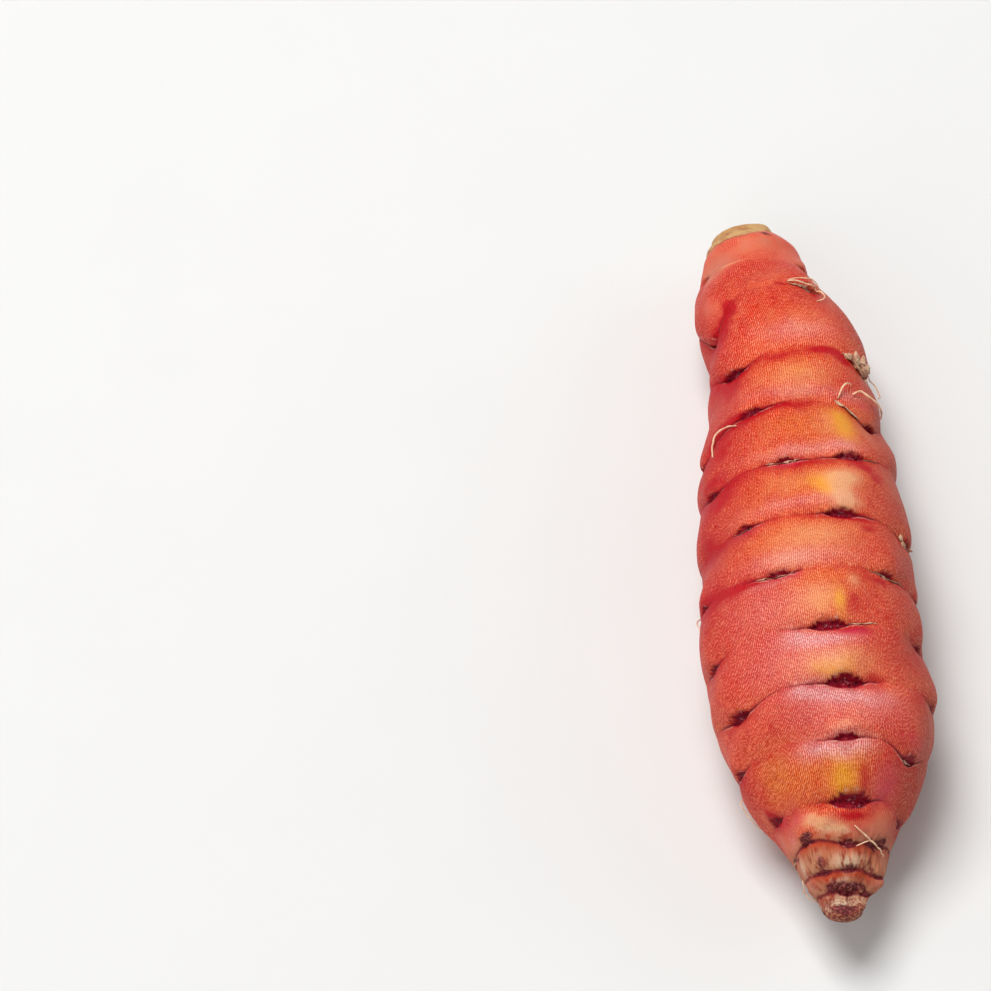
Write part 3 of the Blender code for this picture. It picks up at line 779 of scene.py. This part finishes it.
def skin_material(colours, look):
    """Red skin with files of cells, marked by creases, eyes, yellow cushions, a dry tip and a corky scar."""
    material, tree, surface = new_material("oca_skin")
    place = tree.nodes.new("ShaderNodeTexCoord").outputs["Object"]
    files = tree.nodes.new("ShaderNodeGroup")
    files.node_tree = cell_file_group()
    tree.links.new(mark(tree, "girth"), files.inputs["Girth"])
    files.inputs["Spacing"].default_value = look.cell_spacing * 1000
    height, grain = files.outputs["Height"], files.outputs["Grain"]
    masks = {name: mark(tree, name) for name in WHOLE_MARKS}
    masks |= {name: torn(tree, mark(tree, name), *tears) for name, tears in TORN_MARKS.items()}

    broad = cloud(tree, place, 0.006)
    mottle = cloud(tree, place, 0.0018, detail=3.0)
    speck = cloud(tree, place, 0.0004)
    streak = cloud(tree, place, 0.0007, detail=3.0, stretch=(1.0, 0.22, 1.0))
    streak = times(tree, streak, minus(tree, 1.0, masks["shade"]))
    streak = plus(tree, streak, times(tree, speck, masks["shade"]))
    stained = remap(tree, mottle, 0.50, 0.68)
    bare = plus(tree, *(times(tree, masks[name], share) for name, share in BARE_SHARES.items()))
    bare = maths(tree, "MINIMUM", bare, 1.0)
    celled = minus(tree, 1.0, bare)

    warmth = plus(tree, times(tree, masks["warm"], 0.9), scaled(tree, broad, 2.4, -1.2))
    colour = layer(tree, colours.skin[:], colours.skin_warm[:], remap(tree, warmth, 0.05, 0.85))
    # Deep red on the left and dull red on the right are partly painted shade. Deep red is also the colour of
    # the stains.
    colour = covered(tree, colour, colours, (
        ("deep", masks["deep"], 0.92), ("dull", masks["dull"], 0.80), ("amber", masks["amber"], 0.80),
        ("deep", stained, celled, 0.45), ("pale", masks["pale"], 0.85), ("yolk", masks["yolk"], 0.88),
        ("dusty", masks["dusty"], 0.75),
    ))
    # The grooves between the cells get a redder tint, which is partly painted shade.
    groove_tint_and_shade = times(tree, remap(tree, height, 0.62, 0.05), scaled(tree, celled, 0.90, 0.10))
    colour = layer(tree, colour, colours.groove_tint_and_shade[:], groove_tint_and_shade, "MULTIPLY")
    flush = remap(tree, plus(tree, masks["flush"], scaled(tree, mottle, 0.6, -0.3)), 0.10, 0.75)
    # Painted highlights: pinkish white on the tops of the cells, and the sheen under the eyes, which is
    # partly painted highlight.
    colour = covered(tree, colour, colours, (
        ("cell_highlight", remap(tree, height, 0.55, 1.0), scaled(tree, grain, 0.7, 0.3), celled, 0.55),
        ("sheen", masks["sheen"], scaled(tree, height, 0.7, 0.10)),
        ("crimson", flush, 0.97), ("magenta", masks["magenta"], 0.65),
    ))

    dark = remap(tree, plus(tree, streak, times(tree, masks["shade"], TIP_DARKENING)), 0.50, 0.64)
    dry = covered(tree, colours.tan[:], colours, (
        ("rust", stained, 0.75), ("tan_dark", dark), ("ember", masks["ember"], 0.95),
        ("dusty", masks["dusty"], 0.85), ("pale_dry", masks["pale"], remap(tree, streak, 0.62, 0.46), 0.85),
    ))
    colour = layer(tree, colour, dry, times(tree, masks["tan"], 0.90))
    cork = covered(tree, colours.cork[:], colours, (
        ("cork_dark", remap(tree, mottle, 0.48, 0.74)), ("cork_dark", masks["core"], 0.75),
    ))
    colour = layer(tree, colour, cork, masks["cork"])
    rim = remap(tree, maths(tree, "ABSOLUTE", minus(tree, mark(tree, "cork"), CORK_RIM)), 0.15, 0.04)
    colour = covered(tree, colour, colours, (("tan_dark", rim, remap(tree, mottle, 0.38, 0.56), 0.70),))

    stain = layer(tree, colours.blotch[:], colours.blotch_light[:], remap(tree, speck, 0.50, 0.66))
    colour = layer(tree, colour, stain, times(tree, masks["blotch"], 0.92))
    colour = covered(tree, colour, colours, (("film", masks["film"], 0.75), ("line", masks["line"], 0.80)))
    pit = layer(tree, colours.eye[:], colours.eye_dark[:], remap(tree, speck, 0.52, 0.66))
    colour = layer(tree, colour, pit, masks["eye"])
    tree.links.new(colour, surface.inputs["Base Color"])

    added = (times(tree, masks[name], share) for name, share in ROUGH_SHARES.items())
    rough = plus(tree, scaled(tree, mottle, 0.16, 0.34), *added)
    tree.links.new(maths(tree, "MINIMUM", rough, 1.0), surface.inputs["Roughness"])

    cells = times(tree, height, scaled(tree, celled, 0.9, 0.1))
    relief = plus(tree, cells, times(tree, streak, bare, 1.4))
    bump = node(tree, "ShaderNodeBump", {"Height": relief, "Distance": look.cell_depth, "Strength": 1.0})
    tree.links.new(bump.outputs[0], surface.inputs["Normal"])
    surface.inputs["Subsurface Weight"].default_value = 0.08
    surface.inputs["Subsurface Radius"].default_value = (1.0, 0.25, 0.12)
    surface.inputs["Subsurface Scale"].default_value = 0.001
    surface.inputs["Specular IOR Level"].default_value = 0.14
    return material


def plain_material(name, light, dark, size, roughness, depth, stretch=None):
    """A dry, mottled finish between two colours, with a fine uneven surface."""
    material, tree, surface = new_material(name, roughness)
    place = tree.nodes.new("ShaderNodeTexCoord").outputs["Object"]
    mottle = cloud(tree, place, size, detail=4.0, roughness=0.6, stretch=stretch)
    colour = layer(tree, light[:], dark[:], remap(tree, mottle, 0.40, 0.66))
    tree.links.new(colour, surface.inputs["Base Color"])
    bump = node(tree, "ShaderNodeBump", {"Height": mottle, "Distance": depth, "Strength": 1.0})
    tree.links.new(bump.outputs[0], surface.inputs["Normal"])
    return material


def into_mesh(shape, name):
    """A mesh made from the bmesh, which is then freed."""
    mesh = bpy.data.meshes.new(name)
    shape.to_mesh(mesh)
    shape.free()
    return mesh


def finish_piece(mesh, name, material):
    """An object for the mesh that rides on the tuber's body."""
    mesh.materials.append(material)
    mesh.shade_smooth()
    piece = bpy.data.objects.new(name, mesh)
    bpy.context.scene.collection.objects.link(piece)
    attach(piece, "root")
    return piece


def set_attribute(mesh, name, values):
    """A number on every vertex."""
    attribute = mesh.attributes.new(name, "FLOAT", "POINT")
    attribute.data.foreach_set("value", np.ascontiguousarray(values, np.float32))


def add_skin_map(mesh, turns, stations):
    """A UV map with turns round the tuber and millimetres along it, closed up at its seam."""
    corners = np.empty(len(mesh.loops), np.int32)
    mesh.loops.foreach_get("vertex_index", corners)
    starts = np.empty(len(mesh.polygons), np.int32)
    mesh.polygons.foreach_get("loop_start", starts)
    u = turns[corners]
    highest = np.maximum.reduceat(u, starts)
    counts = np.diff(np.append(starts, len(corners)))
    u = np.where(np.repeat(highest, counts) - u > 0.5, u + 1, u)
    uv = mesh.uv_layers.new(name="skin")
    uv.data.foreach_set("uv", np.stack([u, stations[corners]], axis=-1).astype(np.float32).ravel())


def outward_at(angle):
    """The direction straight out of the skin at an angle."""
    turn = math.radians(angle)
    return Vector((math.sin(turn), 0, math.cos(turn)))


def length_property(name, description, default):
    """A length in metres that a user may change."""
    return FloatProperty(name=name, description=description, default=default, unit="LENGTH")


class OcaLook(bpy.types.PropertyGroup):
    """Sizes of the skin's relief."""

    crease_depth: length_property("Crease depth", "Depth of the creases", 0.00062)
    cushion_height: length_property("Cushion height", "Swelling above each eye", 0.0006)
    pit_depth: length_property("Eye depth", "Depth of the widest eyes", 0.0015)
    bud_height: length_property("Bud height", "Height of the bud in each eye", 0.0003)
    cell_spacing: length_property("Cell spacing", "Distance between files of skin cells", 0.00029)
    cell_depth: length_property("Cell depth", "Height of the skin cells", 0.0001)


def colour_property(name, description, default):
    """A colour that a user may change."""
    return FloatVectorProperty(
        name=name, description=description, subtype="COLOR", size=4, min=0.0, max=1.0, default=(*default, 1.0)
    )


class OcaColours(bpy.types.PropertyGroup):
    """Colours of the skin and of what clings to it."""

    skin: colour_property("Skin", "Main colour of the skin", (0.78, 0.062, 0.024))
    skin_warm: colour_property("Warm skin", "Lighter, more orange skin", (0.90, 0.165, 0.060))
    # Deep red: partly the skin's own colour, partly painted shade on the left; also the colour of the stains.
    deep: colour_property("Deep red", "Skin on the redder side", (0.64, 0.008, 0.006))
    # Dull red: partly the skin's own colour, partly painted shade on the right.
    dull: colour_property("Dull red", "Skin on the duller side", (0.46, 0.056, 0.030))
    # Redder tint between the skin cells, partly painted shade in the grooves.
    groove_tint_and_shade: colour_property("Groove", "Tint between the skin cells", (0.58, 0.12, 0.12))
    # Painted highlight on the tops of the skin cells.
    cell_highlight: colour_property("Cell top", "Bright skin cells", (0.98, 0.42, 0.28))
    amber: colour_property("Amber", "Orange glow of the cushions", (0.88, 0.23, 0.030))
    yolk: colour_property("Yolk", "Yellow spots above the eyes", (0.80, 0.35, 0.022))
    pale: colour_property("Pale", "Bare pale swellings", (0.74, 0.40, 0.20))
    pale_dry: colour_property("Dry pale", "Cream parts of the dry tip", (0.60, 0.50, 0.36))
    # Sheen: partly the skin's whitish bloom, partly painted highlight.
    sheen: colour_property("Sheen", "Pinkish bloom under the eyes", (0.86, 0.50, 0.50))
    crimson: colour_property("Crimson", "Flush below the creases", (0.50, 0.002, 0.009))
    magenta: colour_property("Magenta", "Pink tinge beside the eyes", (0.62, 0.04, 0.09))
    dusty: colour_property("Dusty", "Faded skin at the shoulders", (0.51, 0.175, 0.11))
    film: colour_property("Film", "Papery edges beside the eyes", (0.72, 0.40, 0.33))
    line: colour_property("Crease line", "Dark torn line in the creases", (0.13, 0.008, 0.014))
    eye: colour_property("Eye", "Inside the eyes", (0.28, 0.003, 0.016))
    eye_dark: colour_property("Dark eye", "Darker parts inside the eyes", (0.10, 0.002, 0.010))
    tan: colour_property("Tan", "Dry skin at the tip", (0.42, 0.20, 0.105))
    tan_dark: colour_property("Dark tan", "Streaks at the tip", (0.16, 0.030, 0.022))
    rust: colour_property("Rust", "Brown stains at the tip", (0.42, 0.13, 0.055))
    ember: colour_property("Ember", "Orange tops of the dry bands", (0.36, 0.030, 0.006))
    blotch: colour_property("Blotch", "Dark patches at the tip", (0.080, 0.003, 0.010))
    blotch_light: colour_property("Light blotch", "Lighter crumbs in the dark patches", (0.36, 0.09, 0.08))
    cork: colour_property("Cork", "Scar", (0.56, 0.33, 0.14))
    cork_dark: colour_property("Dark cork", "Stains on the scar", (0.36, 0.14, 0.055))
    rootlet: colour_property("Rootlet", "Dry rootlets", (0.86, 0.58, 0.36))
    rootlet_dark: colour_property("Dark rootlet", "Stains on the rootlets", (0.60, 0.30, 0.17))
    shred: colour_property("Shred", "Papery shreds of scale", (0.66, 0.43, 0.27))
    shred_dark: colour_property("Dark shred", "Stains on the shreds", (0.44, 0.18, 0.11))
    bud: colour_property("Bud", "Buds in the eyes", (0.20, 0.006, 0.022))
    bud_light: colour_property("Light bud", "Tips of the buds", (0.25, 0.045, 0.055))


class OcaStage(bpy.types.PropertyGroup):
    """Floor, light and camera."""

    floor: colour_property("Floor", "Plain pale floor", (0.70, 0.695, 0.68))
    sky: colour_property("Surroundings", "Soft light from all round", (0.95, 0.97, 1.0))
    sky_strength: FloatProperty(
        name="Surroundings strength", description="Brightness all round", default=0.22, subtype="FACTOR"
    )
    key_power: FloatProperty(
        name="Key light", description="Power of the main light", default=22.5, unit="POWER"
    )
    fill_power: FloatProperty(
        name="Fill light", description="Power of the fill light", default=5.0, unit="POWER"
    )
    azimuth: FloatProperty(
        name="Azimuth", description="Turn round the tuber", default=math.radians(-5.474), subtype="ANGLE"
    )
    elevation: FloatProperty(
        name="Elevation", description="Camera's height angle", default=math.radians(63.0), subtype="ANGLE"
    )
    distance: length_property("Distance", "Camera to aim", 0.5)


class OCA_OT_tuber(bpy.types.Operator):
    """Build the tuber's finished skin in place of the plain one"""

    bl_idname = "oca.tuber"
    bl_label = "Tuber"

    def execute(self, context):
        look, colours = context.scene.oca_look, context.scene.oca_colours
        share = np.arange(COLUMNS) / COLUMNS
        share = share - TOP_CROWDING * np.sin(2 * math.pi * share) / (2 * math.pi)
        signed = np.where(share > 0.5, 360.0 * share - 360.0, 360.0 * share)
        rows = fine_rows(signed)
        stations = np.array([row[0] for row in rows])
        points, marks = skin_points(stations, signed + 0 * stations, np.array([row[1] for row in rows]), look)
        shape = bmesh.new()
        last = len(rows) - 1
        bmesh.ops.create_uvsphere(shape, u_segments=COLUMNS, v_segments=last, radius=1.0)
        place = np.array([vertex.co[:] for vertex in shape.verts])
        row_of = np.rint(np.arccos(np.clip(place[:, 2], -1, 1)) / math.pi * last).astype(int)
        turn_of = np.arctan2(place[:, 1], place[:, 0]) / (2 * math.pi)
        column_of = np.rint(turn_of * COLUMNS).astype(int) % COLUMNS
        for vertex, point in zip(shape.verts, points[row_of, column_of] * MM):
            vertex.co = point
        # The sphere's faces point out and stay so when its points move. recalc_face_normals would turn them
        # all inwards here.
        if shape.calc_volume(signed=True) <= 0:
            raise RuntimeError("the skin's faces point inwards")
        mesh = into_mesh(shape, "oca_skin")
        for name, values in marks.items():
            set_attribute(mesh, name, values[row_of, column_of])
        add_skin_map(mesh, share[column_of], stations[row_of, column_of])
        piece = finish_piece(mesh, "oca_skin", skin_material(colours, look))
        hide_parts("tuber")
        return {"FINISHED"}


class OCA_OT_buds(bpy.types.Operator):
    """Set small scaly buds in the eyes"""

    bl_idname = "oca.buds"
    bl_label = "Eye buds"

    def execute(self, context):
        look, colours = context.scene.oca_look, context.scene.oca_colours
        draw = random.Random(SEED + 1)
        shape = bmesh.new()
        for ring in ALL_RINGS:
            for eye, width, _ in ring[2]:
                size = width / FULL_EYE
                crease = float(crease_station(ring, eye))
                girth = float(through(RADIUS, crease))
                count = 7 if width > 4 else 4
                asides = np.array([draw.gauss(0, 0.11 * width) for _ in range(count)])
                stations = crease + size * np.array([draw.uniform(-0.75, 0.15) for _ in range(count)])
                angles = turned(eye + np.degrees(asides / girth), 0)
                for angle, spot in zip(angles, on_skin(stations, angles, 0.03 * size, look)):
                    outward, tipward = outward_at(angle), Vector((0, -1, 0))
                    lean = outward * draw.uniform(0.3, 0.8) + tipward
                    lean += outward.cross(tipward) * draw.uniform(-0.8, 0.8)
                    scale = [draw.uniform(*span) * size * MM for span in BUD_SIZES]
                    turn = lean.to_track_quat("Y", "Z").to_matrix().to_4x4()
                    matrix = Matrix.Translation(spot) @ turn @ Matrix.Diagonal((*scale, 1.0))
                    bmesh.ops.create_uvsphere(shape, u_segments=10, v_segments=7, radius=1.0, matrix=matrix)
        bmesh.ops.recalc_face_normals(shape, faces=shape.faces)
        mesh = into_mesh(shape, "eye_buds")
        material = plain_material("bud_scales", colours.bud, colours.bud_light, 0.0005, 0.45, 0.00006)
        finish_piece(mesh, "eye_buds", material)
        return {"FINISHED"}


class OCA_OT_rootlets(bpy.types.Operator):
    """Lay dry rootlets over the skin"""

    bl_idname = "oca.rootlets"
    bl_label = "Rootlets"

    def execute(self, context):
        look, colours = context.scene.oca_look, context.scene.oca_colours
        data = bpy.data.curves.new("rootlets", "CURVE")
        data.dimensions = "3D"
        data.bevel_depth = MM
        data.bevel_resolution = 2
        data.use_fill_caps = True
        for radius, stops in ROOTLETS:
            count = 7 * (len(stops) - 1) + 1
            at = np.linspace(0, len(stops) - 1, count)
            station, angle, lift = (
                through(tuple((i, stop[k]) for i, stop in enumerate(stops)), at) for k in range(3)
            )
            points = on_skin(station, angle, lift, look)
            spline = data.splines.new("POLY")
            spline.points.add(count - 1)
            spline.points.foreach_set("co", np.c_[points, np.ones(count)].ravel())
            thin = radius * (0.55 + 0.45 * np.sin(math.pi * np.linspace(0.15, 0.95, count)))
            spline.points.foreach_set("radius", thin)
        curve = bpy.data.objects.new("rootlet_curve", data)
        bpy.context.scene.collection.objects.link(curve)
        graph = context.evaluated_depsgraph_get()
        mesh = bpy.data.meshes.new_from_object(curve.evaluated_get(graph))
        bpy.data.objects.remove(curve)
        shape = bmesh.new()
        shape.from_mesh(mesh)
        bmesh.ops.remove_doubles(shape, verts=shape.verts, dist=1e-7)
        bmesh.ops.recalc_face_normals(shape, faces=shape.faces)
        shape.to_mesh(mesh)
        shape.free()
        mesh.materials.clear()
        material = plain_material(
            "dry_rootlet", colours.rootlet, colours.rootlet_dark, 0.0008, 0.6, 0.00004, (1.0, 0.3, 1.0)
        )
        finish_piece(mesh, "rootlets", material)
        return {"FINISHED"}


class OCA_OT_shreds(bpy.types.Operator):
    """Leave papery shreds and crusts of dead scale along the creases"""

    bl_idname = "oca.shreds"
    bl_label = "Shreds of scale"

    def add_shred(self, shape, shred, draw, look):
        number, first, last, width, lift, place = shred
        girth = float(through(RADIUS, ALL_RINGS[number][0]))
        steps = max(8, round(math.radians(last - first) * girth / 0.22))
        made = bmesh.ops.create_grid(shape, x_segments=steps, y_segments=4, size=1.0)["verts"]
        sheet = list({face for vertex in made for face in vertex.link_faces})
        raised_sheet = bmesh.ops.extrude_face_region(shape, geom=sheet, use_keep_orig=True)["geom"]
        copied = [item for item in raised_sheet if isinstance(item, bmesh.types.BMVert)]
        seed = draw.randrange(1000)
        for side, thickness in ((made, 0.0), (copied, SHRED_THICKNESS)):
            share = np.array([[0.5 + 0.5 * vertex.co.x, 0.5 + 0.5 * vertex.co.y] for vertex in side])
            angle = first + share[:, 0] * (last - first)
            torn_away = 0.70 + 0.55 * noise(np.radians(angle) * girth / 0.45, 0.0, 0.0, seed)
            taper = np.sin(math.pi * np.clip(share[:, 0], 0.05, 0.95)) ** 0.6
            curl = noise(np.radians(angle) * girth / 1.3, 5.0, 0.0, seed + 1)
            station = crease_station(ALL_RINGS[number], angle) + place + 0.15 * curl
            station = station + share[:, 1] * width * torn_away * taper
            raised = 0.04 + thickness + lift * share[:, 1] ** 1.5 * (0.6 + 0.6 * curl) * taper
            for vertex, point in zip(side, on_skin(station, angle, raised, look)):
                vertex.co = point

    def add_crust(self, shape, crust, draw, look):
        station, angle, radius, crumbs = crust
        girth = float(through(RADIUS, station))
        stations = np.array([station + draw.gauss(0, 0.6 * radius) for _ in range(crumbs)])
        angles = np.array([angle + math.degrees(draw.gauss(0, 0.8 * radius) / girth) for _ in range(crumbs)])
        for at_angle, spot in zip(angles, on_skin(stations, angles, 0.12 * radius, look)):
            upright = outward_at(at_angle).to_track_quat("Z", "Y").to_matrix().to_4x4()
            matrix = Matrix.Translation(spot) @ upright @ Matrix.Rotation(draw.uniform(0, math.tau), 4, "Z")
            scale = [draw.uniform(*span) * radius * MM for span in CRUMB_SIZES]
            made = bmesh.ops.create_icosphere(shape, subdivisions=3, radius=1.0)["verts"]
            at = np.array([vertex.co[:] for vertex in made])
            seed = draw.randrange(1000)
            rough = 1 + 0.45 * noise(*(1.8 * at.T), seed) + 0.30 * noise(*(4.5 * at.T), seed + 1)
            for vertex, point in zip(made, at * rough[:, None] * np.array(scale)):
                vertex.co = matrix @ Vector(point)

    def execute(self, context):
        look, colours = context.scene.oca_look, context.scene.oca_colours
        draw = random.Random(SEED + 2)
        shape = bmesh.new()
        for shred in SHREDS:
            self.add_shred(shape, shred, draw, look)
        for crust in CRUSTS:
            self.add_crust(shape, crust, draw, look)
        bmesh.ops.recalc_face_normals(shape, faces=shape.faces)
        mesh = into_mesh(shape, "scale_shreds")
        material = plain_material("papery_scale", colours.shred, colours.shred_dark, 0.0007, 0.7, 0.00006)
        finish_piece(mesh, "scale_shreds", material)
        return {"FINISHED"}


class OCA_OT_stage(bpy.types.Operator):
    """Set the floor, the lights and the camera"""

    bl_idname = "oca.stage"
    bl_label = "Stage"

    def execute(self, context):
        stage = context.scene.oca_stage
        shape = bmesh.new()
        bmesh.ops.create_grid(shape, x_segments=4, y_segments=4, size=0.5 * FLOOR_SIDE)
        mesh = into_mesh(shape, "floor")
        material, tree, surface = new_material("pale_floor", 0.75)
        place = tree.nodes.new("ShaderNodeTexCoord").outputs["Object"]
        shaded = [0.97 * channel for channel in stage.floor[:3]] + [1.0]
        colour = layer(tree, stage.floor[:], shaded, cloud(tree, place, 0.02))
        tree.links.new(colour, surface.inputs["Base Color"])
        mesh.materials.append(material)
        floor = bpy.data.objects.new("floor", mesh)
        context.scene.collection.objects.link(floor)

        world = bpy.data.worlds.new("soft_light")
        world.use_nodes = True
        world.node_tree.nodes["Background"].inputs["Color"].default_value = stage.sky[:]
        world.node_tree.nodes["Background"].inputs["Strength"].default_value = stage.sky_strength
        context.scene.world = world
        lights = (
            ("key", KEY, stage.key_power),
            ("fill", FILL, stage.fill_power),
            ("rim", RIM, 0.5 * stage.fill_power),
        )
        for name, (direction, distance, side), power in lights:
            light = bpy.data.lights.new(name, "AREA")
            light.energy = power
            light.size = side
            lamp = bpy.data.objects.new(name, light)
            lamp.location = direction.normalized() * distance
            lamp.rotation_euler = direction.to_track_quat("Z", "Y").to_euler()
            context.scene.collection.objects.link(lamp)

        away = Vector((
            math.sin(stage.azimuth) * math.cos(stage.elevation),
            -math.cos(stage.azimuth) * math.cos(stage.elevation),
            math.sin(stage.elevation),
        ))
        camera = bpy.data.objects.new("camera", bpy.data.cameras.new("camera"))
        camera.data.sensor_width = SENSOR_WIDTH
        camera.data.lens = stage.distance / (PIXEL_MM * MM) / IMAGE_SIDE * SENSOR_WIDTH
        camera.data.clip_start = 0.01
        camera.location = AIM + away * stage.distance
        camera.rotation_euler = away.to_track_quat("Z", "Y").to_euler()
        context.scene.collection.objects.link(camera)
        context.scene.camera = camera
        context.scene.view_settings.view_transform = "Standard"
        return {"FINISHED"}


STEPS = (OCA_OT_tuber, OCA_OT_buds, OCA_OT_rootlets, OCA_OT_shreds, OCA_OT_stage)
GROUPS = {"oca_look": OcaLook, "oca_colours": OcaColours, "oca_stage": OcaStage}


class OCA_PT_panel(bpy.types.Panel):
    """Lists the steps and the values that they use"""

    bl_idname = "OCA_PT_panel"
    bl_label = "Oca tuber"
    bl_space_type = "VIEW_3D"
    bl_region_type = "UI"
    bl_category = "Oca"

    def draw(self, context):
        for step in STEPS:
            self.layout.operator(step.bl_idname)
        for name, group in GROUPS.items():
            box = self.layout.box()
            for value in group.__annotations__:
                box.prop(getattr(context.scene, name), value)


def register():
    for made in (*GROUPS.values(), *STEPS, OCA_PT_panel):
        bpy.utils.register_class(made)
    for name, group in GROUPS.items():
        setattr(bpy.types.Scene, name, PointerProperty(type=group))


def unregister():
    for name in GROUPS:
        delattr(bpy.types.Scene, name)
    for made in (OCA_PT_panel, *reversed(STEPS), *reversed(GROUPS.values())):
        bpy.utils.unregister_class(made)


def main():
    register()
    bpy.ops.oca.tuber()
    bpy.ops.oca.buds()
    bpy.ops.oca.rootlets()
    bpy.ops.oca.shreds()
    bpy.ops.oca.stage()


if __name__ == "__main__":
    main()
